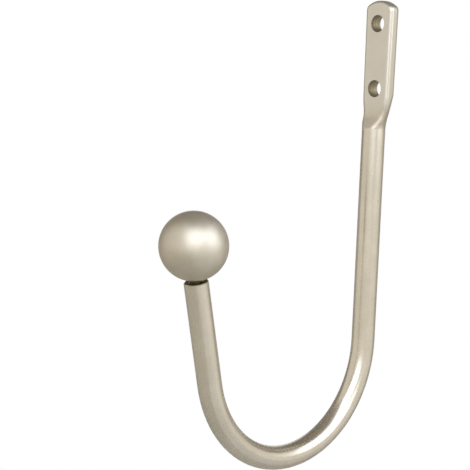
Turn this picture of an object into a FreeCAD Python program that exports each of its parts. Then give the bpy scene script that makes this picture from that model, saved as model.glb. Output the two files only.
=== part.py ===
"""Curtain holdback: a J-shaped hook of round bar with a ball on its free end.

Millimetres, +Z up. The wall is the plane y = 0 and the hook stands out from it towards -Y.
The origin lies on the wall face, midway between the two screw holes.
"""
import FreeCAD, Part
import math
import operator
import os
from types import SimpleNamespace

import Sketcher
from FreeCAD import Placement, Rotation, Vector

# Driving sizes in millimetres and degrees.
SIZES = {
    # Round bar and its bend. The bend's radius is that of the bar's centre line,
    # and the arm's angle is its lean from upright.
    "bar_diameter": 8.0,
    "bend_radius": 36.7,
    "bend_drop": 97.9,
    "arm_angle": 12.7,
    "arm_length": 35.2,
    "bar_end_chamfer": 0.3,
    # Flattened end, with a crowned top and rounded edges.
    "plate_width": 11.9,
    "plate_root_width": 11.3,
    "plate_thickness": 4.65,
    "crown_radius": 9.0,
    "crown_corner_radius": 2.2,
    "back_edge_radius": 1.75,
    "face_edge_radius": 1.4,
    "end_margin": 7.8,
    # Screw holes.
    "screw_hole_diameter": 5.8,
    "screw_hole_spacing": 22.1,
    # Where the flat runs out into the round bar, measured down from the lower screw hole.
    "spread_drop": 2.0,
    "spread_length": 11.5,
    "ramp_drop": 6.2,
    "ramp_root_radius": 8.0,
    "ramp_angle": 32.0,
    # Ball, and the stud that holds it. The ball sits a little off the arm's axis.
    "ball_diameter": 22.3,
    "ball_gap": 0.3,
    "ball_offset": 1.0,
    "stud_diameter": 4.0,
    "stud_end_chamfer": 0.5,
    "stud_depth_in_bar": 10.0,
    "stud_depth_in_ball": 9.0,
    "thread_clearance": 0.05,
    "hole_mouth_chamfer": 0.4,
}

# Stations of the loft from the flat down to the round bar, as shares of its length.
SPREAD_STATIONS = (0.0, 0.2, 0.4, 0.6, 0.8, 1.0)
# Powers of a station's share: the width starts to narrow late, and the back corners round off early.
WIDTH_EASE = 1.3
BACK_EASE = 0.5
# How far a cutting profile stands clear of the metal that it removes.
CUT_CLEAR = 5.0
# Half the least side kept between two rounded corners of a section.
LEAST_STRAIGHT = 0.1
# Where the right, rear, left and front sides stand in a section's geometry, after its four corners.
SIDES = (4, 5, 6, 7)
# Distance within which an edge counts as lying at a place.
NEAR = 1e-4
RIGHT_ANGLE = 90
FULL_TURN = 360
UP = Vector(0, 0, 1)


class Size:
    """A size with its formula in the sheet and its number for drawing."""

    def __init__(self, formula, number):
        self.formula = formula
        self.number = number

    def __float__(self):
        return float(self.number)

    def __neg__(self):
        return Size(f"-({self.formula})", -self.number)

    def __add__(self, other):
        return joined(self, "+", other, operator.add)

    def __sub__(self, other):
        return joined(self, "-", other, operator.sub)

    def __mul__(self, other):
        return joined(self, "*", other, operator.mul)

    def __truediv__(self, other):
        return joined(self, "/", other, operator.truediv)


def joined(left, sign, right, work):
    """Join a size with another size or with a plain number."""
    right = right if isinstance(right, Size) else Size(str(right), right)
    return Size(f"({left.formula} {sign} {right.formula})", work(left.number, right.number))


def sine(angle):
    """Sine of an angle in degrees."""
    return Size(f"sin({angle.formula})", math.sin(math.radians(angle.number)))


def cosine(angle):
    """Cosine of an angle in degrees."""
    return Size(f"cos({angle.formula})", math.cos(math.radians(angle.number)))


def make_sheet():
    """Write the driving sizes into a sheet and return them by name."""
    sheet = doc.addObject("Spreadsheet::Sheet", "Sizes")
    for row, (name, number) in enumerate(SIZES.items(), start=1):
        sheet.set(f"A{row}", name)
        sheet.set(f"B{row}", str(number))
        sheet.setAlias(f"B{row}", name)
    doc.recompute()
    return SimpleNamespace(**{name: Size(f"Sizes.{name}", number) for name, number in SIZES.items()})


def new_body(label):
    """Add an empty body whose label names its file."""
    body = doc.addObject("PartDesign::Body", label)
    body.Label = label
    return body


def new_sketch(body, name, role, turn=None, **offset):
    """Add a sketch on one of the body's own planes, moved and turned by sizes."""
    plane = next(item for item in body.Origin.OriginFeatures if item.Role == role)
    sketch = body.newObject("Sketcher::SketchObject", name)
    sketch.AttachmentSupport = [(plane, "")]
    sketch.MapMode = "FlatFace"
    if turn:
        sketch.AttachmentOffset = Placement(Vector(), Rotation(UP, float(turn)))
        sketch.setExpression("AttachmentOffset.Rotation.Angle", turn.formula)
    for axis, distance in offset.items():
        sketch.setExpression(f"AttachmentOffset.Base.{axis}", distance.formula)
    return sketch


def relate(sketch, *relations):
    """Add geometric relations such as ("Tangent", 0, 2, 1, 1) to a sketch."""
    for relation in relations:
        sketch.addConstraint(Sketcher.Constraint(*relation))


def dimension(sketch, name, measure, kind, *where):
    """Add a named dimension to a sketch and tie it to the sheet."""
    index = sketch.addConstraint(Sketcher.Constraint(kind, *where, float(measure)))
    sketch.renameConstraint(index, name)
    sketch.setExpression(f"Constraints.{name}", measure.formula)


def line_angle(sketch, name, degrees, which):
    """Fix the angle of a line against the sketch's level axis."""
    index = sketch.addConstraint(Sketcher.Constraint("Angle", which, math.radians(float(degrees))))
    sketch.renameConstraint(index, name)
    sketch.setExpression(f"Constraints.{name}", f"{degrees.formula} * 1 deg")


def line(start, end):
    """Straight line between two corners given as (x, y)."""
    return Part.LineSegment(Vector(*start, 0), Vector(*end, 0))


def arc(middle, radius, start, end):
    """Round arc about a middle given as (x, y), between two angles in radians."""
    return Part.ArcOfCircle(Part.Circle(Vector(*middle, 0), UP, float(radius)), start, end)


def feature(body, kind, name, **settings):
    """Add a feature to a body, set its properties and work it out."""
    made = body.newObject(f"PartDesign::{kind}", name)
    for key, setting in settings.items():
        if isinstance(setting, Size):
            made.setExpression(key, setting.formula)
        else:
            setattr(made, key, setting)
    doc.recompute()
    return made


def edges_where(shape, wanted):
    """Names of the shape's edges that a test picks."""
    return [f"Edge{index}" for index, edge in enumerate(shape.Edges, start=1) if wanted(edge)]


def plate_outline(body):
    """Front view of the flattened end: slightly tapered sides, rounded corners and a crown."""
    sketch = new_sketch(body, "plate_outline", "XZ_Plane")
    half = float(size.plate_width) / 2
    root = float(size.plate_root_width) / 2
    corner = float(size.crown_corner_radius)
    crown = float(size.crown_radius)
    middle = crown_top - size.crown_radius
    inner = half - corner
    turn = math.acos(inner / (crown - corner))
    shoulder = float(middle) + (crown - corner) * math.sin(turn)
    low = float(spread_z)
    sketch.addGeometry([
        line((-root, low), (root, low)),
        line((root, low), (half, shoulder)),
        arc((inner, shoulder), corner, 0, turn),
        arc((0, middle), crown, turn, math.pi - turn),
        arc((-inner, shoulder), corner, math.pi - turn, math.pi),
        line((-half, shoulder), (-root, low)),
    ])
    relate(sketch,
           ("Coincident", 0, 2, 1, 1), ("Coincident", 5, 2, 0, 1),
           ("Tangent", 1, 2, 2, 1), ("Tangent", 2, 2, 3, 1),
           ("Tangent", 3, 2, 4, 1), ("Tangent", 4, 2, 5, 1),
           ("Equal", 2, 4), ("Symmetric", 0, 1, 0, 2, -2), ("Symmetric", 5, 1, 1, 2, -2))
    dimension(sketch, "root_width", size.plate_root_width, "DistanceX", 0, 1, 0, 2)
    dimension(sketch, "width", size.plate_width, "DistanceX", 5, 1, 1, 2)
    dimension(sketch, "low", spread_z, "DistanceY", -1, 1, 0, 1)
    dimension(sketch, "corner", size.crown_corner_radius, "Radius", 2)
    dimension(sketch, "crown", size.crown_radius, "Radius", 3)
    dimension(sketch, "crown_middle", middle, "DistanceY", -1, 1, 3, 3)
    return sketch


def smooth_step(share):
    """Share that starts and ends gently between 0 and 1."""
    return share * share * (3 - 2 * share)


def between(flat, bar, share):
    """Size that lies a share of the way from the flat's to the bar's."""
    return flat * (1 - share) + bar * share


def spread_section(body, station):
    """Level section between the flat and the round bar: a block with rounded corners.

    Smooth steps carry its width and its corners from those of the flat to those of the bar.
    """
    height = spread_z - size.spread_length * station
    sketch = new_sketch(body, f"spread_section_{round(station * 100)}", "XY_Plane", z=height)
    if station == SPREAD_STATIONS[-1]:
        draw_split_circle(sketch)
        return sketch
    narrowed = smooth_step(station ** WIDTH_EASE)
    rounded = smooth_step(station ** BACK_EASE)
    bar_corner = size.bar_diameter / 2 - LEAST_STRAIGHT
    width = between(size.plate_root_width, size.bar_diameter, narrowed)
    front = between(size.bar_diameter - size.plate_thickness - LEAST_STRAIGHT, bar_corner, narrowed)
    back = between(size.back_edge_radius, bar_corner, rounded)
    half = float(width) / 2
    front_x = half - float(front)
    front_y = float(front) - float(size.bar_diameter)
    back_x = half - float(back)
    quarter = math.pi / 2
    corners = [
        arc((front_x, front_y), front, -quarter, 0),
        arc((back_x, -float(back)), back, 0, quarter),
        arc((-back_x, -float(back)), back, quarter, 2 * quarter),
        arc((-front_x, front_y), front, 2 * quarter, 3 * quarter),
    ]
    followers = corners[1:] + corners[:1]
    sides = [Part.LineSegment(this.EndPoint, after.StartPoint) for this, after in zip(corners, followers)]
    sketch.addGeometry(corners + sides)
    right, rear, left, face = SIDES
    for corner, side in enumerate(SIDES):
        relate(sketch, ("Tangent", corner, 2, side, 1), ("Tangent", side, 2, (corner + 1) % 4, 1))
    relate(sketch, ("Vertical", right), ("Horizontal", rear), ("Vertical", left),
           ("Equal", 0, 3), ("Equal", 1, 2),
           ("Symmetric", face, 1, face, 2, -2), ("PointOnObject", rear, 1, -1))
    dimension(sketch, "width", width, "DistanceX", left, 1, right, 1)
    dimension(sketch, "depth", -size.bar_diameter, "DistanceY", -1, 1, face, 1)
    dimension(sketch, "front_corner", front, "Radius", 0)
    dimension(sketch, "back_corner", back, "Radius", 1)
    return sketch


def draw_split_circle(sketch):
    """Draw the round bar's section as the same corners and sides that the flat's sections have."""
    radius = float(size.bar_diameter) / 2
    middle = (0, bar_axis_y)
    quarter = math.pi / 2
    spare = math.asin(LEAST_STRAIGHT / radius)
    starts = [-quarter, 0, quarter, 2 * quarter]
    sketch.addGeometry(
        [arc(middle, radius, start + spare, start + quarter - spare) for start in starts]
        + [arc(middle, radius, start + quarter - spare, start + quarter + spare) for start in starts])
    right, rear, left, face = SIDES
    for corner, side in enumerate(SIDES):
        relate(sketch, ("Coincident", corner, 2, side, 1), ("Coincident", side, 2, (corner + 1) % 4, 1))
    for other in range(1, face):
        relate(sketch, ("Coincident", other, 3, 0, 3))
    relate(sketch, ("Equal", 0, face), ("PointOnObject", 0, 3, -2),
           ("Vertical", right, 1, right, 2), ("Vertical", left, 1, left, 2),
           ("Horizontal", rear, 1, rear, 2), ("Horizontal", face, 1, face, 2))
    straight = Size(str(2 * LEAST_STRAIGHT), 2 * LEAST_STRAIGHT)
    for side in SIDES:
        dimension(sketch, f"side_{side}", straight, "Distance", side, 1, side, 2)
    dimension(sketch, "radius", size.bar_diameter / 2, "Radius", 0)
    dimension(sketch, "axis", bar_axis_y, "DistanceY", -1, 1, 0, 3)


def draw_bar_circle(sketch):
    """Draw the section of the round bar, which touches the wall plane."""
    sketch.addGeometry(Part.Circle(Vector(0, bar_axis_y, 0), UP, float(size.bar_diameter) / 2))
    relate(sketch, ("PointOnObject", 0, 3, -2))
    dimension(sketch, "diameter", size.bar_diameter, "Diameter", 0)
    dimension(sketch, "axis", bar_axis_y, "DistanceY", -1, 1, 0, 3)


def bar_path(body):
    """Centre line of the bar in side view: shank, bend and leaning arm."""
    sketch = new_sketch(body, "bar_path", "YZ_Plane")
    lean = math.radians(float(size.arm_angle))
    bend = arc((bar_axis_y - size.bend_radius, bend_z), size.bend_radius, math.pi + lean, 2 * math.pi)
    sketch.addGeometry([
        line((bar_axis_y, round_z), (bar_axis_y, bend_z)),
        bend,
        Part.LineSegment(bend.StartPoint, Vector(tip_y, tip_z, 0)),
    ])
    relate(sketch, ("Vertical", 0), ("Tangent", 0, 2, 1, 2), ("Tangent", 1, 1, 2, 1))
    dimension(sketch, "axis", bar_axis_y, "DistanceX", -1, 1, 0, 1)
    dimension(sketch, "round_end", round_z, "DistanceY", -1, 1, 0, 1)
    dimension(sketch, "bend_start", bend_z, "DistanceY", -1, 1, 0, 2)
    dimension(sketch, "bend_radius", size.bend_radius, "Radius", 1)
    dimension(sketch, "arm_length", size.arm_length, "Distance", 2)
    line_angle(sketch, "arm_angle", size.arm_angle + RIGHT_ANGLE, 2)
    return sketch


def press_profile(body):
    """Side view of the metal pressed away: the flat face, a hollow root and a straight ramp."""
    sketch = new_sketch(body, "press_profile", "YZ_Plane")
    slope = math.radians(float(size.ramp_angle))
    face_y = -size.plate_thickness
    high = crown_top + CUT_CLEAR
    out = -size.bar_diameter - CUT_CLEAR
    root = arc((face_y - size.ramp_root_radius, ramp_z), size.ramp_root_radius, -slope, 0)
    foot = root.StartPoint
    ramp_end = (out, foot.y - (foot.x - float(out)) / math.tan(slope))
    sketch.addGeometry([
        line((face_y, high), (face_y, ramp_z)),
        root,
        line((foot.x, foot.y), ramp_end),
        line(ramp_end, (out, high)),
        line((out, high), (face_y, high)),
    ])
    relate(sketch, ("Vertical", 0), ("Tangent", 0, 2, 1, 2), ("Tangent", 1, 1, 2, 1),
           ("Coincident", 2, 2, 3, 1), ("Vertical", 3), ("Coincident", 3, 2, 4, 1),
           ("Horizontal", 4), ("Coincident", 4, 2, 0, 1))
    dimension(sketch, "face", face_y, "DistanceX", -1, 1, 0, 1)
    dimension(sketch, "high", high, "DistanceY", -1, 1, 0, 1)
    dimension(sketch, "ramp_start", ramp_z, "DistanceY", -1, 1, 0, 2)
    dimension(sketch, "root_radius", size.ramp_root_radius, "Radius", 1)
    dimension(sketch, "out", out, "DistanceX", -1, 1, 3, 1)
    line_angle(sketch, "ramp_angle", -size.ramp_angle - RIGHT_ANGLE, 2)
    return sketch


def screw_hole_circles(body):
    """The two screw holes, one above the other."""
    sketch = new_sketch(body, "screw_hole_circles", "XZ_Plane")
    radius = float(size.screw_hole_diameter) / 2
    sketch.addGeometry([Part.Circle(Vector(0, -float(lower_hole_z), 0), UP, radius),
                        Part.Circle(Vector(0, lower_hole_z, 0), UP, radius)])
    relate(sketch, ("PointOnObject", 0, 3, -2), ("Equal", 0, 1), ("Symmetric", 0, 3, 1, 3, -1, 1))
    dimension(sketch, "spacing", size.screw_hole_spacing, "DistanceY", 1, 3, 0, 3)
    dimension(sketch, "diameter", size.screw_hole_diameter, "Diameter", 0)
    return sketch


def turned_profile(sketch, corners):
    """Draw a closed outline of straight lines through corners given as (radius, height).

    The first and the last corner lie on the sketch's upright axis, where their radius is 0.
    """
    last = len(corners) - 1
    for index, corner in enumerate(corners):
        sketch.addGeometry(line(corner, corners[(index + 1) % len(corners)]))
    for index, (radius, height) in enumerate(corners):
        relate(sketch, ("Coincident", index, 2, (index + 1) % len(corners), 1))
        dimension(sketch, f"height_{index}", height, "DistanceY", -1, 1, index, 1)
        if 0 < index < last:
            dimension(sketch, f"radius_{index}", radius, "DistanceX", -1, 1, index, 1)
        else:
            relate(sketch, ("PointOnObject", index, 1, -2))


def cut_tapped_hole(body, mouth, bottom, outward, **place):
    """Cut a flat-bottomed hole for the stud, with a chamfered mouth that opens upward or downward."""
    sketch = new_sketch(body, f"{body.Label}_tapped_hole", "YZ_Plane", **place)
    radius = size.stud_diameter / 2 + size.thread_clearance
    wide = radius + size.hole_mouth_chamfer
    clear = mouth + CUT_CLEAR * outward
    neck = mouth - size.hole_mouth_chamfer * outward
    turned_profile(sketch, ((0, clear), (wide, clear), (wide, mouth), (radius, neck),
                            (radius, bottom), (0, bottom)))
    return feature(body, "Groove", f"{body.Label}_hole", Profile=sketch,
                   ReferenceAxis=(sketch, ["V_Axis"]), Angle=FULL_TURN)


def make_hook_bar():
    """Spread, bend, press and drill the bar."""
    body = new_body("hook_bar")
    blank = feature(body, "Pad", "plate_blank", Profile=plate_outline(body), Length=size.bar_diameter)

    def on_wall(edge):
        box = edge.BoundBox
        return box.YMin > -NEAR and box.ZMax > float(spread_z) + NEAR

    feature(body, "Fillet", "back_edges", Base=(blank, edges_where(blank.Shape, on_wall)),
            Radius=size.back_edge_radius)
    sections = [spread_section(body, station) for station in SPREAD_STATIONS]
    feature(body, "AdditiveLoft", "spread", Profile=sections[0], Sections=sections[1:])
    bar_section = new_sketch(body, "bar_section", "XY_Plane", z=round_z)
    draw_bar_circle(bar_section)
    path = (bar_path(body), ["Edge1", "Edge2", "Edge3"])
    feature(body, "AdditivePipe", "bar", Profile=bar_section, Spine=path)
    pressed = feature(body, "Pocket", "press", Profile=press_profile(body), Type="ThroughAll",
                      Midplane=True)

    def round_face(edge):
        box = edge.BoundBox
        level = abs(box.YMin + float(size.plate_thickness)) < NEAR and box.YLength < NEAR
        return level and box.ZMax > float(ramp_z) + NEAR

    feature(body, "Fillet", "face_edges", Base=(pressed, edges_where(pressed.Shape, round_face)),
            Radius=size.face_edge_radius)
    drilled = feature(body, "Pocket", "screw_holes", Profile=screw_hole_circles(body), Type="ThroughAll",
                      Midplane=True)
    tip = Vector(0, tip_y, tip_z)

    def round_tip(edge):
        return edge.CenterOfMass.distanceToPoint(tip) < NEAR

    feature(body, "Chamfer", "bar_end", Base=(drilled, edges_where(drilled.Shape, round_tip)),
            Size=size.bar_end_chamfer)
    end_face = Size("0", 0)
    cut_tapped_hole(body, end_face, -size.stud_depth_in_bar, 1, turn=size.arm_angle, x=tip_y, y=tip_z)
    return body


def make_ball_finial():
    """Turn the ball, and drill and tap it a little off its middle."""
    body = new_body("ball_finial")
    radius = size.ball_diameter / 2
    sketch = new_sketch(body, "half_disc", "YZ_Plane", x=size.ball_offset, y=size.ball_gap + radius)
    sketch.addGeometry([
        arc((0, 0), radius, -math.pi / 2, math.pi / 2),
        line((0, radius), (0, -radius)),
    ])
    relate(sketch, ("Coincident", 0, 2, 1, 1), ("Coincident", 0, 1, 1, 2), ("Coincident", 0, 3, -1, 1),
           ("PointOnObject", 1, 1, -2), ("PointOnObject", 1, 2, -2))
    dimension(sketch, "radius", radius, "Radius", 0)
    feature(body, "Revolution", "ball", Profile=sketch, ReferenceAxis=(sketch, ["V_Axis"]), Angle=FULL_TURN)
    cut_tapped_hole(body, size.ball_gap, size.ball_gap + size.stud_depth_in_ball, -1)
    place_on_tip(body)
    return body


def make_finial_stud():
    """Turn the stud that fills both tapped holes and bridges the gap between them."""
    body = new_body("finial_stud")
    sketch = new_sketch(body, "stud_profile", "YZ_Plane")
    low = -size.stud_depth_in_bar
    high = size.ball_gap + size.stud_depth_in_ball
    radius = size.stud_diameter / 2
    bevel = size.stud_end_chamfer
    turned_profile(sketch, ((0, low), (radius - bevel, low), (radius, low + bevel),
                            (radius, high - bevel), (radius - bevel, high), (0, high)))
    feature(body, "Revolution", "stud", Profile=sketch, ReferenceAxis=(sketch, ["V_Axis"]), Angle=FULL_TURN)
    place_on_tip(body)
    return body


def place_on_tip(body):
    """Stand a body on the middle of the bar's end, along the leaning arm."""
    body.Placement = Placement(Vector(), Rotation(Vector(1, 0, 0), float(size.arm_angle)))
    body.setExpression("Placement.Base.y", tip_y.formula)
    body.setExpression("Placement.Base.z", tip_z.formula)
    body.setExpression("Placement.Rotation.Angle", size.arm_angle.formula)


def check_model(bodies):
    """Stop if an object failed or a body's shape isn't one sound solid."""
    doc.recompute()
    failed = [item.Name for item in doc.Objects if {"Invalid", "Error"} & set(item.State)]
    if failed:
        raise RuntimeError(f"failed to build: {failed}")
    for body in bodies:
        if body.Shape.isNull() or not body.Shape.isValid() or len(body.Shape.Solids) != 1:
            raise RuntimeError(f"{body.Label} is not one valid solid")


doc = FreeCAD.newDocument("curtain_holdback")
size = make_sheet()

# Places that follow from the sizes.
lower_hole_z = -size.screw_hole_spacing / 2
crown_top = size.screw_hole_spacing / 2 + size.end_margin
spread_z = lower_hole_z - size.spread_drop
round_z = spread_z - size.spread_length
ramp_z = lower_hole_z - size.ramp_drop
bend_z = -size.bend_drop
bar_axis_y = -size.bar_diameter / 2
tip_y = (bar_axis_y - size.bend_radius - size.bend_radius * cosine(size.arm_angle)
         - size.arm_length * sine(size.arm_angle))
tip_z = bend_z - size.bend_radius * sine(size.arm_angle) + size.arm_length * cosine(size.arm_angle)

pieces = [make_hook_bar(), make_ball_finial(), make_finial_stud()]
check_model(pieces)
os.makedirs("parts", exist_ok=True)
for piece in pieces:
    piece.Shape.exportStep(f"parts/{piece.Label}.step")
    print(piece.Label, round(piece.Shape.Volume, 1), piece.Shape.BoundBox)
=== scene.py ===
"""Looks of the curtain holdback: a satin nickel hook and ball in a pale studio."""
import math

import bmesh
import bpy
from mathutils import Matrix, Vector


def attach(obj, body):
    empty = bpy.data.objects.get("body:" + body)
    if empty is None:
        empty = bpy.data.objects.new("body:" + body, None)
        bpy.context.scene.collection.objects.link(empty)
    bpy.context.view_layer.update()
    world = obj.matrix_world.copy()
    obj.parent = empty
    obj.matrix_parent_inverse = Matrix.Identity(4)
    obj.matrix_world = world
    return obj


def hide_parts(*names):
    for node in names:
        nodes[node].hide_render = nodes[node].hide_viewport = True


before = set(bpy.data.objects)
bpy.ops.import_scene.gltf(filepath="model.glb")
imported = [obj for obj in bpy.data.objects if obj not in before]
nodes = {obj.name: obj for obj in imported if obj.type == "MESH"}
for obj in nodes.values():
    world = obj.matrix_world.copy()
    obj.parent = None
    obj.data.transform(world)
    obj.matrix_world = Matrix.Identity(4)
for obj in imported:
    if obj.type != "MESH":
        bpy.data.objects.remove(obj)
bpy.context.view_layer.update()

MM = 0.001

# The hook's own sizes in millimetres and degrees, as the solids have them.
BEND_MIDDLE = (0, -40.7, -97.9)
ARM_ANGLE = 12.7
ARM_LENGTH = 35.2
BAR_END = (0, -84.24, -71.63)
BALL_MIDDLE = (0, -85.78, -60.24)
SCREW_HOLE_RISE = 11.05
SCREW_HOLE_RADIUS = 2.9
STUD_RADIUS = 2.0
STUD_LOW = -10.0
STUD_HIGH = 9.3
STUD_BEVEL = 0.5

# A coarse 4 mm thread. Its crest and its two flanks are shares of the pitch.
THREAD_PITCH = 0.7
THREAD_DEPTH = 0.43
THREAD_CREST = 0.2
THREAD_FLANKS = 0.65
STUD_SIDES = 40
STUD_ROWS = 240

# Heights where the flattened end turns into the hammered ramp, and the ramp into the round bar.
PLATE_FOOT = -15.5
RAMP_HEAD = -19.0
RAMP_FOOT = -23.0
BAR_HEAD = -25.5
# The ramp widens by about a fifth of a millimetre for each one upward from its root.
RAMP_ROOT = -25.0
RAMP_WIDENING = 0.215
# Where the painted shade on the ramp's flanks and the plate's sides fades in, from the middle outward.
RAMP_FLANK = (1.9, 3.2)
PLATE_SIDE = (4.7, 5.6)
# What counts as a hole's wall or the end face lies within this much of its true place.
HOLE_WALL_SKIN = 0.04
END_FACE_SKIN = 0.06
# Farther than any part of the hook reaches.
FAR = 1000.0

# Widths of the patterns in millimetres. Those too fine to show are drawn coarser than they are.
DIE_LINE_WIDTH = 0.5  # a real drawing die leaves a tenth at most
GRAIN_WIDTH = 0.3  # real blasting grit leaves under a tenth
DRILL_RING_WIDTH = 0.5  # a real drill leaves a quarter
LATHE_RING_WIDTH = 0.4  # a real lathe leaves a tenth
BAR_PATCH_WIDTH = 6.0
BALL_PATCH_WIDTH = 5.0
STAIN_WIDTH = 1.0
# How fast a pattern changes along its lines or round its rings, as a share of how fast across them.
DIE_LINE_DRIFT = 0.025
DRILL_RING_DRIFT = 0.15
LATHE_RING_DRIFT = 0.02
# Depths of the patterns in millimetres.
DIE_LINE_DEPTH = 0.001
BAR_GRAIN_DEPTH = 0.0007
BALL_GRAIN_DEPTH = 0.004
LATHE_RING_DEPTH = 0.003
STAIN_DEPTH = 0.01
# How finely the noise breaks up.
FINE_DETAIL = 2.0
CLOUD_DETAIL = 3.0
CLOUD_SHARPNESS = 0.6
# Spans of the noise: where most of it lies, where nearly all of it lies, and its highest part.
MOST = {"From Min": 0.35, "From Max": 0.65}
NEARLY_ALL = {"From Min": 0.3, "From Max": 0.7}
HIGHEST = {"From Min": 0.55, "From Max": 0.75}

# Roughness, from a mirror at 0 to chalk at 1. A pair is the range of an uneven surface.
BAR_SATIN = (0.24, 0.30)
PLATE_SATIN = 0.37
RAMP_SATIN = 0.52
BALL_SATIN = (0.47, 0.51)
DRILLED_DULL = 0.5
THREAD_DULL = (0.4, 0.6)

# Tones of the metal. A pair is the range of an uneven surface.
BAR_TONES = ("#C4BAA4", "#CBC0AB")
DIE_LINE_TONE = "#B4AA97"
DIE_LINE_STRENGTH = 0.3
PLATE_TONE = "#CDC5B7"
PLATE_TONE_STRENGTH = 0.5
# The plate's sides and the ramp's flanks are darkened with painted shade, which dims their highlights.
PLATE_SIDE_SHADE_TONE = "#B8AE98"
RAMP_FLANK_SHADE_TONE = "#AB9E86"
# The hole walls carry the drill's rings and thin dull plating, darkened further with painted shade.
DRILLED_AND_SHADED_TONES = ("#8A7D62", "#A6997B")
# The end face under the ball is painted dark as shade of the narrow gap there.
END_FACE_SHADE_TONE = "#5A4C36"
BALL_TONES = ("#BBB19A", "#C2B7A2")
# The thread's tones hold zinc stains and, partly, painted shade of the narrow gap round the stud.
THREAD_STAIN_AND_SHADE_TONES = ("#5F543F", "#948669")

# The mix node names its sockets alike for numbers and colours, so they go by their places.
NUMBER_A, NUMBER_B, NUMBER_MIXED = 2, 3, 0
COLOUR_A, COLOUR_B, COLOUR_MIXED = 6, 7, 2

# The camera stands where the photograph was taken from: angles in degrees, lengths in metres.
CAMERA_AZIMUTH = 45.96
CAMERA_ELEVATION = 7.24
CAMERA_ROLL = 2.35
CAMERA_DISTANCE = 0.618
CAMERA_AIM = Vector((-0.0363, -0.0329, -0.0642))
CAMERA_LENS_MM = 135.6
CAMERA_NEAR = 0.01

# The hook hangs about this far above the floor, in metres.
FLOOR_DROP = 1.0
FLOOR_RADIUS = 3.0
FLOOR_SIDES = 64
FLOOR_TONE = "#DDDDDB"

# Slightly cool lamps keep the highlights on the warm metal white.
LAMP_TONE = "#D3E0FF"
# Watts for each square metre of lamp that shine as bright as the white walls.
WALL_WHITE_WATTS = 4


def linear(code):
    """Linear RGBA from an sRGB hex colour."""
    channels = [int(code[place:place + 2], 16) / 255 for place in (1, 3, 5)]
    return [c / 12.92 if c <= 0.04045 else ((c + 0.055) / 1.055) ** 2.4 for c in channels] + [1.0]


def add_node(tree, kind, inputs=(), **settings):
    """Add a node, set its properties, and fill or link its inputs."""
    node = tree.nodes.new(kind)
    for name, setting in settings.items():
        setattr(node, name, setting)
    for name, given in dict(inputs).items():
        if isinstance(given, bpy.types.NodeSocket):
            tree.links.new(given, node.inputs[name])
        else:
            node.inputs[name].default_value = given
    return node


def new_material(name):
    """A material with no nodes yet."""
    material = bpy.data.materials.new(name)
    material.use_nodes = True
    material.node_tree.nodes.clear()
    return material


def place_in_mm(tree):
    """Where a point lies in the hook's own frame, in millimetres."""
    place = add_node(tree, "ShaderNodeTexCoord").outputs["Object"]
    return add_node(tree, "ShaderNodeVectorMath", {
        0: place, 1: (1 / MM,) * 3}, operation="MULTIPLY").outputs[0]


def plating(tree, place, patch_width, tones):
    """Tone of the nickel, the uneven patches that it varies by, and its blasted grain."""
    patches = add_node(tree, "ShaderNodeTexNoise", {
        "Vector": place, "Scale": 1 / patch_width, "Detail": CLOUD_DETAIL,
        "Roughness": CLOUD_SHARPNESS}).outputs["Fac"]
    share = add_node(tree, "ShaderNodeMapRange", {"Value": patches, **MOST}).outputs["Result"]
    tone = add_node(tree, "ShaderNodeMix", {
        "Factor": share, COLOUR_A: linear(tones[0]), COLOUR_B: linear(tones[1])},
        data_type="RGBA").outputs[COLOUR_MIXED]
    grain = add_node(tree, "ShaderNodeTexNoise", {
        "Vector": place, "Scale": 1 / GRAIN_WIDTH, "Detail": FINE_DETAIL}).outputs["Fac"]
    return tone, share, grain


def die_lines(tree, at_shank, at_arm, on_shank):
    """Lines along the bar, from the die that it was drawn through.

    Each line keeps its distance from the bend's middle, and above the bend it runs straight on
    along the shank or the arm, so there the distance is measured level with that leg.
    """
    reaches = []
    for leg in (at_arm, at_shank):
        below = add_node(tree, "ShaderNodeVectorMath", {
            0: leg, 1: (FAR, FAR, 0)}, operation="MINIMUM").outputs[0]
        in_plane = add_node(tree, "ShaderNodeVectorMath", {
            0: below, 1: (0, 1, 1)}, operation="MULTIPLY").outputs[0]
        reaches.append(add_node(tree, "ShaderNodeVectorMath", {
            0: in_plane}, operation="LENGTH").outputs["Value"])
    reach = add_node(tree, "ShaderNodeMix", {
        "Factor": on_shank, NUMBER_A: reaches[0], NUMBER_B: reaches[1]},
        data_type="FLOAT").outputs[NUMBER_MIXED]
    axes = add_node(tree, "ShaderNodeSeparateXYZ", {0: at_shank}).outputs
    run = add_node(tree, "ShaderNodeMath", {
        0: axes["Z"], 1: DIE_LINE_DRIFT}, operation="MULTIPLY").outputs[0]
    line_place = add_node(tree, "ShaderNodeCombineXYZ", {
        "X": axes["X"], "Y": reach, "Z": run}).outputs[0]
    return add_node(tree, "ShaderNodeTexNoise", {
        "Vector": line_place, "Scale": 1 / DIE_LINE_WIDTH, "Detail": CLOUD_DETAIL,
        "Roughness": CLOUD_SHARPNESS}).outputs["Fac"]


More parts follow.
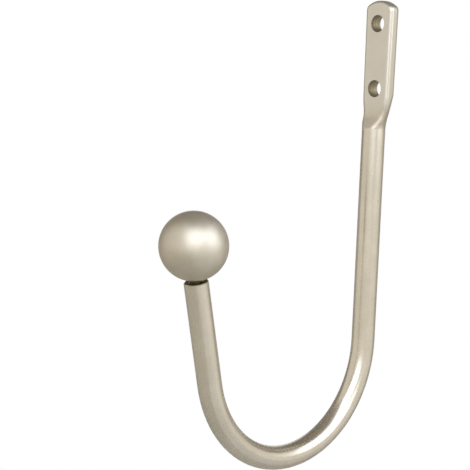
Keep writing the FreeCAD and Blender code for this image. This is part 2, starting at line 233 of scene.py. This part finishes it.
def forged_end(tree, place, folded, tone, satin):
    """Tone and roughness of the bar with its forged end.

    The flattened end was blasted harder than the bar, which leaves it greyer and duller. The
    hammer's marks leave the ramp below it duller still. The sides of both are darkened with
    painted shade, which dims the highlights along them.
    """
    height = add_node(tree, "ShaderNodeSeparateXYZ", {0: place}).outputs["Z"]
    aside = add_node(tree, "ShaderNodeSeparateXYZ", {0: folded}).outputs["X"]
    on_plate, under_plate, above_bar = (
        add_node(tree, "ShaderNodeMapRange", {
            "Value": height, "From Min": start, "From Max": end}).outputs["Result"]
        for start, end in ((RAMP_HEAD, PLATE_FOOT), (PLATE_FOOT, RAMP_HEAD), (BAR_HEAD, RAMP_FOOT)))
    on_ramp = add_node(tree, "ShaderNodeMath", {
        0: under_plate, 1: above_bar}, operation="MULTIPLY").outputs[0]

    above_root = add_node(tree, "ShaderNodeMath", {
        0: height, 1: RAMP_ROOT}, operation="SUBTRACT").outputs[0]
    outward = add_node(tree, "ShaderNodeMath", {
        0: above_root, 1: -RAMP_WIDENING, 2: aside}, operation="MULTIPLY_ADD").outputs[0]
    # Painted shade darkens the plate's sides and the ramp's flanks.
    side, flank = (
        add_node(tree, "ShaderNodeMapRange", {
            "Value": reach, "From Min": start, "From Max": end}).outputs["Result"]
        for reach, (start, end) in ((aside, PLATE_SIDE), (outward, RAMP_FLANK)))

    for region, strength, code in (
            (on_plate, PLATE_TONE_STRENGTH, PLATE_TONE),
            (on_plate, side, PLATE_SIDE_SHADE_TONE),
            (on_ramp, flank, RAMP_FLANK_SHADE_TONE)):
        share = add_node(tree, "ShaderNodeMath", {
            0: region, 1: strength}, operation="MULTIPLY").outputs[0]
        tone = add_node(tree, "ShaderNodeMix", {
            "Factor": share, COLOUR_A: tone, COLOUR_B: linear(code)},
            data_type="RGBA").outputs[COLOUR_MIXED]
    for region, roughness in ((on_plate, PLATE_SATIN), (on_ramp, RAMP_SATIN)):
        satin = add_node(tree, "ShaderNodeMix", {
            "Factor": region, NUMBER_A: satin, NUMBER_B: roughness},
            data_type="FLOAT").outputs[NUMBER_MIXED]
    return tone, satin


def screw_holes(tree, place, folded):
    """Where the walls of the two screw holes are, and their tone with the rings the drill left."""
    # The walls' tone is darkened partly with painted shade in the holes.
    from_hole = add_node(tree, "ShaderNodeVectorMath", {
        0: folded, 1: (0, 0, SCREW_HOLE_RISE)}, operation="SUBTRACT").outputs[0]
    across = add_node(tree, "ShaderNodeVectorMath", {
        0: from_hole, 1: (1, 0, 1)}, operation="MULTIPLY").outputs[0]
    reach = add_node(tree, "ShaderNodeVectorMath", {0: across}, operation="LENGTH").outputs["Value"]
    in_hole = add_node(tree, "ShaderNodeMath", {
        0: reach, 1: SCREW_HOLE_RADIUS + HOLE_WALL_SKIN}, operation="LESS_THAN").outputs[0]
    ring_place = add_node(tree, "ShaderNodeVectorMath", {
        0: place, 1: (DRILL_RING_DRIFT, 1, DRILL_RING_DRIFT)}, operation="MULTIPLY").outputs[0]
    rings = add_node(tree, "ShaderNodeTexNoise", {
        "Vector": ring_place, "Scale": 1 / DRILL_RING_WIDTH, "Detail": FINE_DETAIL}).outputs["Fac"]
    share = add_node(tree, "ShaderNodeMapRange", {"Value": rings, **MOST}).outputs["Result"]
    tone = add_node(tree, "ShaderNodeMix", {
        "Factor": share, COLOUR_A: linear(DRILLED_AND_SHADED_TONES[0]), COLOUR_B: linear(DRILLED_AND_SHADED_TONES[1])},
        data_type="RGBA").outputs[COLOUR_MIXED]
    return in_hole, tone


def satin_nickel_bar():
    """Nickel plated over drawn, forged and bent steel bar, then brushed and blasted to a satin.

    The eye sees a warm grey metal with soft streaks of light and faint lines along the bar, a
    greyer flattened end, a dull ramp below it, painted shade along the plate's sides and the
    ramp's flanks, ringed walls in the screw holes, dull from thin plating and darkened with painted
    shade, and a dark end face that is painted shade for the narrow gap under the ball.
    """
    material = new_material("satin_nickel_plated_drawn_bar")
    tree = material.node_tree
    place = place_in_mm(tree)
    # Places measured from the bend's middle, upright along the shank and leaning with the arm.
    at_shank = add_node(tree, "ShaderNodeVectorMath", {
        0: place, 1: BEND_MIDDLE}, operation="SUBTRACT").outputs[0]
    at_arm = add_node(tree, "ShaderNodeMapping", {
        "Vector": at_shank, "Rotation": (-math.radians(ARM_ANGLE), 0, 0)}).outputs[0]
    shank_axes = add_node(tree, "ShaderNodeSeparateXYZ", {0: at_shank}).outputs
    arm_axes = add_node(tree, "ShaderNodeSeparateXYZ", {0: at_arm}).outputs
    on_shank = add_node(tree, "ShaderNodeMath", {
        0: shank_axes["Y"], 1: 0.0}, operation="GREATER_THAN").outputs[0]
    # The hook is its own mirror image, and its two screw holes lie as far above as below its origin.
    folded = add_node(tree, "ShaderNodeVectorMath", {0: place}, operation="ABSOLUTE").outputs[0]

    plated, _, grain = plating(tree, place, BAR_PATCH_WIDTH, BAR_TONES)
    lines = die_lines(tree, at_shank, at_arm, on_shank)
    line_share = add_node(tree, "ShaderNodeMapRange", {
        "Value": lines, **HIGHEST, "To Max": DIE_LINE_STRENGTH}).outputs["Result"]
    lined = add_node(tree, "ShaderNodeMix", {
        "Factor": line_share, COLOUR_A: plated, COLOUR_B: linear(DIE_LINE_TONE)},
        data_type="RGBA").outputs[COLOUR_MIXED]
    lined_satin = add_node(tree, "ShaderNodeMapRange", {
        "Value": lines, **NEARLY_ALL, "To Min": BAR_SATIN[0], "To Max": BAR_SATIN[1]}).outputs["Result"]
    forged, forged_satin = forged_end(tree, place, folded, lined, lined_satin)

    # The hole walls' tone holds painted shade.
    in_hole, drilled_and_shaded = screw_holes(tree, place, folded)
    # The end face under the ball, and the tapped hole in it, painted dark as shade of the narrow gap
    # there.
    on_arm = add_node(tree, "ShaderNodeMath", {0: 1.0, 1: on_shank}, operation="SUBTRACT").outputs[0]
    past_end = add_node(tree, "ShaderNodeMath", {
        0: arm_axes["Z"], 1: ARM_LENGTH - END_FACE_SKIN}, operation="GREATER_THAN").outputs[0]
    on_end = add_node(tree, "ShaderNodeMath", {
        0: on_arm, 1: past_end}, operation="MULTIPLY").outputs[0]
    tone = forged
    for region, cover in ((in_hole, drilled_and_shaded), (on_end, linear(END_FACE_SHADE_TONE))):
        tone = add_node(tree, "ShaderNodeMix", {
            "Factor": region, COLOUR_A: tone, COLOUR_B: cover},
            data_type="RGBA").outputs[COLOUR_MIXED]
    cut = add_node(tree, "ShaderNodeMath", {0: in_hole, 1: on_end}, operation="MAXIMUM").outputs[0]
    roughness = add_node(tree, "ShaderNodeMix", {
        "Factor": cut, NUMBER_A: forged_satin, NUMBER_B: DRILLED_DULL},
        data_type="FLOAT").outputs[NUMBER_MIXED]

    line_bump = add_node(tree, "ShaderNodeBump", {"Height": lines, "Distance": DIE_LINE_DEPTH * MM})
    grain_bump = add_node(tree, "ShaderNodeBump", {
        "Height": grain, "Distance": BAR_GRAIN_DEPTH * MM, "Normal": line_bump.outputs[0]})
    shader = add_node(tree, "ShaderNodeBsdfPrincipled", {
        "Base Color": tone, "Metallic": 1.0, "Roughness": roughness,
        "Normal": grain_bump.outputs[0]})
    add_node(tree, "ShaderNodeOutputMaterial", {"Surface": shader.outputs["BSDF"]})
    return material


def satin_nickel_ball():
    """Nickel plated over a turned and blasted steel ball.

    The eye sees one broad soft highlight, duller than the bar's, and faint rings from the lathe.
    """
    material = new_material("satin_nickel_plated_turned_ball")
    tree = material.node_tree
    place = place_in_mm(tree)
    at_ball = add_node(tree, "ShaderNodeVectorMath", {
        0: place, 1: BALL_MIDDLE}, operation="SUBTRACT").outputs[0]
    upright = add_node(tree, "ShaderNodeMapping", {
        "Vector": at_ball, "Rotation": (-math.radians(ARM_ANGLE), 0, 0)}).outputs[0]
    ring_place = add_node(tree, "ShaderNodeVectorMath", {
        0: upright, 1: (LATHE_RING_DRIFT, LATHE_RING_DRIFT, 1)}, operation="MULTIPLY").outputs[0]
    rings = add_node(tree, "ShaderNodeTexNoise", {
        "Vector": ring_place, "Scale": 1 / LATHE_RING_WIDTH, "Detail": FINE_DETAIL}).outputs["Fac"]
    tone, patchiness, grain = plating(tree, place, BALL_PATCH_WIDTH, BALL_TONES)
    roughness = add_node(tree, "ShaderNodeMapRange", {
        "Value": patchiness, "To Min": BALL_SATIN[0], "To Max": BALL_SATIN[1]}).outputs["Result"]

    ring_bump = add_node(tree, "ShaderNodeBump", {
        "Height": rings, "Distance": LATHE_RING_DEPTH * MM})
    grain_bump = add_node(tree, "ShaderNodeBump", {
        "Height": grain, "Distance": BALL_GRAIN_DEPTH * MM, "Normal": ring_bump.outputs[0]})
    shader = add_node(tree, "ShaderNodeBsdfPrincipled", {
        "Base Color": tone, "Metallic": 1.0, "Roughness": roughness,
        "Normal": grain_bump.outputs[0]})
    add_node(tree, "ShaderNodeOutputMaterial", {"Surface": shader.outputs["BSDF"]})
    return material


def zinc_plated_thread():
    """Zinc plated over a rolled steel thread.

    The eye sees a dull grey with darker stains, which the spangle of the zinc and thread oil leave.
    Both tones are kept dark partly as painted shade of the narrow gap the stud shows through.
    """
    material = new_material("zinc_plated_rolled_thread")
    tree = material.node_tree
    stains = add_node(tree, "ShaderNodeTexNoise", {
        "Vector": place_in_mm(tree), "Scale": 1 / STAIN_WIDTH, "Detail": CLOUD_DETAIL}).outputs["Fac"]
    tone = add_node(tree, "ShaderNodeMix", {
        "Factor": stains, COLOUR_A: linear(THREAD_STAIN_AND_SHADE_TONES[0]), COLOUR_B: linear(THREAD_STAIN_AND_SHADE_TONES[1])},
        data_type="RGBA").outputs[COLOUR_MIXED]
    roughness = add_node(tree, "ShaderNodeMapRange", {
        "Value": stains, "To Min": THREAD_DULL[0], "To Max": THREAD_DULL[1]}).outputs["Result"]
    bump = add_node(tree, "ShaderNodeBump", {"Height": stains, "Distance": STAIN_DEPTH * MM})
    shader = add_node(tree, "ShaderNodeBsdfPrincipled", {
        "Base Color": tone, "Metallic": 1.0, "Roughness": roughness, "Normal": bump.outputs[0]})
    add_node(tree, "ShaderNodeOutputMaterial", {"Surface": shader.outputs["BSDF"]})
    return material


def matt_paper(name, code):
    """Matt paper of one tone, for the floor and the cards round the hook."""
    material = new_material(name)
    tree = material.node_tree
    shader = add_node(tree, "ShaderNodeBsdfPrincipled", {
        "Base Color": linear(code), "Roughness": 1.0, "Specular IOR Level": 0.0})
    add_node(tree, "ShaderNodeOutputMaterial", {"Surface": shader.outputs["BSDF"]})
    return material


def thread_radius(turn, height):
    """Radius of the stud's thread at a share of a turn and a height, in millimetres."""
    share = (height / THREAD_PITCH - turn) % 1
    from_crest = abs(2 * share - 1)
    fall = min(max((from_crest - THREAD_CREST) / THREAD_FLANKS, 0), 1)
    from_end = min(height - STUD_LOW, STUD_HIGH - height)
    return min(STUD_RADIUS - THREAD_DEPTH * fall, STUD_RADIUS - STUD_BEVEL + from_end)


def make_stud(material):
    """The headless stud with its cut thread, which runs from inside the bar up into the ball."""
    shape = bmesh.new()
    rings = []
    for row in range(STUD_ROWS + 1):
        height = STUD_LOW + (STUD_HIGH - STUD_LOW) * row / STUD_ROWS
        ring = []
        for step in range(STUD_SIDES):
            turn = step / STUD_SIDES
            radius = thread_radius(turn, height)
            angle = 2 * math.pi * turn
            ring.append(shape.verts.new((radius * math.cos(angle), radius * math.sin(angle), height)))
        rings.append(ring)
    for low, high in zip(rings, rings[1:]):
        for step in range(STUD_SIDES):
            after = (step + 1) % STUD_SIDES
            shape.faces.new((low[step], low[after], high[after], high[step])).smooth = True
    shape.faces.new(rings[0][::-1])
    shape.faces.new(rings[-1])
    mesh = bpy.data.meshes.new("threaded_stud")
    shape.to_mesh(mesh)
    shape.free()
    mesh.transform(Matrix.Translation(Vector(BAR_END) * MM)
                   @ Matrix.Rotation(math.radians(ARM_ANGLE), 4, "X") @ Matrix.Scale(MM, 4))
    mesh.materials.append(material)
    stud = bpy.data.objects.new("threaded_stud", mesh)
    bpy.context.collection.objects.link(stud)
    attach(stud, "root")
    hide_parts("finial_stud")


def direction(azimuth, elevation):
    """Unit vector towards a place round the hook. Azimuth 0 lies in front of the wall."""
    turn = math.radians(azimuth)
    rise = math.radians(elevation)
    return Vector((math.sin(turn) * math.cos(rise), -math.cos(turn) * math.cos(rise), math.sin(rise)))


def facing_place(azimuth, elevation, distance):
    """Where something stands that faces the hook. Azimuths count from the camera's, to the right."""
    towards = direction(CAMERA_AZIMUTH + azimuth, elevation)
    return (Matrix.Translation(CAMERA_AIM + towards * distance)
            @ towards.to_track_quat("Z", "Y").to_matrix().to_4x4())


def span(degrees, distance):
    """Width that fills this many degrees from this far away."""
    return 2 * distance * math.tan(math.radians(degrees / 2))


def make_camera():
    """The photograph's camera."""
    lens = bpy.data.cameras.new("camera")
    lens.lens = CAMERA_LENS_MM
    lens.clip_start = CAMERA_NEAR
    camera = bpy.data.objects.new("camera", lens)
    turned = (Matrix.Rotation(math.radians(CAMERA_AZIMUTH), 4, "Z")
              @ Matrix.Rotation(math.radians(90 - CAMERA_ELEVATION), 4, "X")
              @ Matrix.Rotation(math.radians(CAMERA_ROLL), 4, "Z"))
    place = CAMERA_AIM + direction(CAMERA_AZIMUTH, CAMERA_ELEVATION) * CAMERA_DISTANCE
    camera.matrix_world = Matrix.Translation(place) @ turned
    bpy.context.collection.objects.link(camera)
    bpy.context.scene.camera = camera


def make_walls():
    """White studio walls all round, which the camera and the metal see as paper white."""
    world = bpy.data.worlds.new("studio_walls")
    world.use_nodes = True
    tree = world.node_tree
    tree.nodes.clear()
    light = add_node(tree, "ShaderNodeBackground", {"Color": (1, 1, 1, 1), "Strength": 1.0})
    add_node(tree, "ShaderNodeOutputWorld", {"Surface": light.outputs["Background"]})
    bpy.context.scene.world = world


def softbox(name, azimuth, elevation, distance, wide, high, brightness, shape="RECTANGLE"):
    """A flat lamp that faces the hook, with its width and height in degrees as the hook sees them.

    The metal sees its brightness on top of the wall's behind it, which is 1.
    """
    lamp = bpy.data.lights.new(name, "AREA")
    lamp.shape = shape
    lamp.color = linear(LAMP_TONE)[:3]
    lamp.size = span(wide, distance)
    lamp.size_y = span(high, distance)
    lamp.energy = brightness * lamp.size * lamp.size_y * WALL_WHITE_WATTS
    holder = bpy.data.objects.new(name, lamp)
    holder.matrix_world = facing_place(azimuth, elevation, distance)
    holder.visible_camera = False
    bpy.context.collection.objects.link(holder)


def add_stage(name, shape, material, place):
    """Add a stage mesh that isn't part of the hook."""
    mesh = bpy.data.meshes.new(name)
    shape.to_mesh(mesh)
    shape.free()
    mesh.materials.append(material)
    made = bpy.data.objects.new(name, mesh)
    made.matrix_world = place
    bpy.context.collection.objects.link(made)
    return made


def make_floor():
    """A round sheet of pale paper well below the hook."""
    shape = bmesh.new()
    bmesh.ops.create_circle(shape, cap_ends=True, radius=FLOOR_RADIUS, segments=FLOOR_SIDES)
    place = Matrix.Translation((CAMERA_AIM.x, CAMERA_AIM.y, -FLOOR_DROP))
    add_stage("floor", shape, matt_paper("pale_paper", FLOOR_TONE), place)


def card(name, code, azimuth, elevation, distance, wide, high):
    """A card that faces the hook, with its width and height in degrees. It shows only in the metal."""
    shape = bmesh.new()
    # A square sheet one metre wide, stretched to the card's size.
    bmesh.ops.create_grid(shape, x_segments=1, y_segments=1, size=0.5)
    place = facing_place(azimuth, elevation, distance) @ Matrix.Diagonal(
        (span(wide, distance), span(high, distance), 1, 1))
    made = add_stage(name, shape, matt_paper(f"{name}_paper", code), place)
    made.visible_camera = False


for name, material in (("hook_bar", satin_nickel_bar()), ("ball_finial", satin_nickel_ball())):
    nodes[name].data.materials.clear()
    nodes[name].data.materials.append(material)
make_stud(zinc_plated_thread())

make_camera()
make_walls()
make_floor()
# Two softboxes light the hook, one over the camera and one on its right. Cards overhead and behind
# give the metal something darker than the walls to mirror, and a weak low softbox on the right lifts
# its underside.
softbox("camera_softbox", azimuth=2, elevation=31.5, distance=0.5, wide=44, high=51, brightness=2.6)
softbox("right_softbox", azimuth=63, elevation=27, distance=0.5, wide=44, high=45, brightness=2.4)
card("ceiling_card", "#C2BCB5", azimuth=0, elevation=90, distance=1.1, wide=62, high=62)
card("left_rear_card", "#B6B1AD", azimuth=-143, elevation=30, distance=1.5, wide=52, high=66)
card("right_rear_card", "#B9B5B1", azimuth=138, elevation=34, distance=1.5, wide=54, high=60)
card("top_rear_card", "#A5A09C", azimuth=180, elevation=45, distance=1.5, wide=50, high=50)
card("low_rear_card", "#CBCAC8", azimuth=180, elevation=-16, distance=1.5, wide=140, high=36)
softbox("low_softbox", azimuth=62, elevation=-37, distance=0.9, wide=100, high=50, brightness=0.17,
        shape="ELLIPSE")
bpy.context.scene.view_settings.view_transform = "Standard"
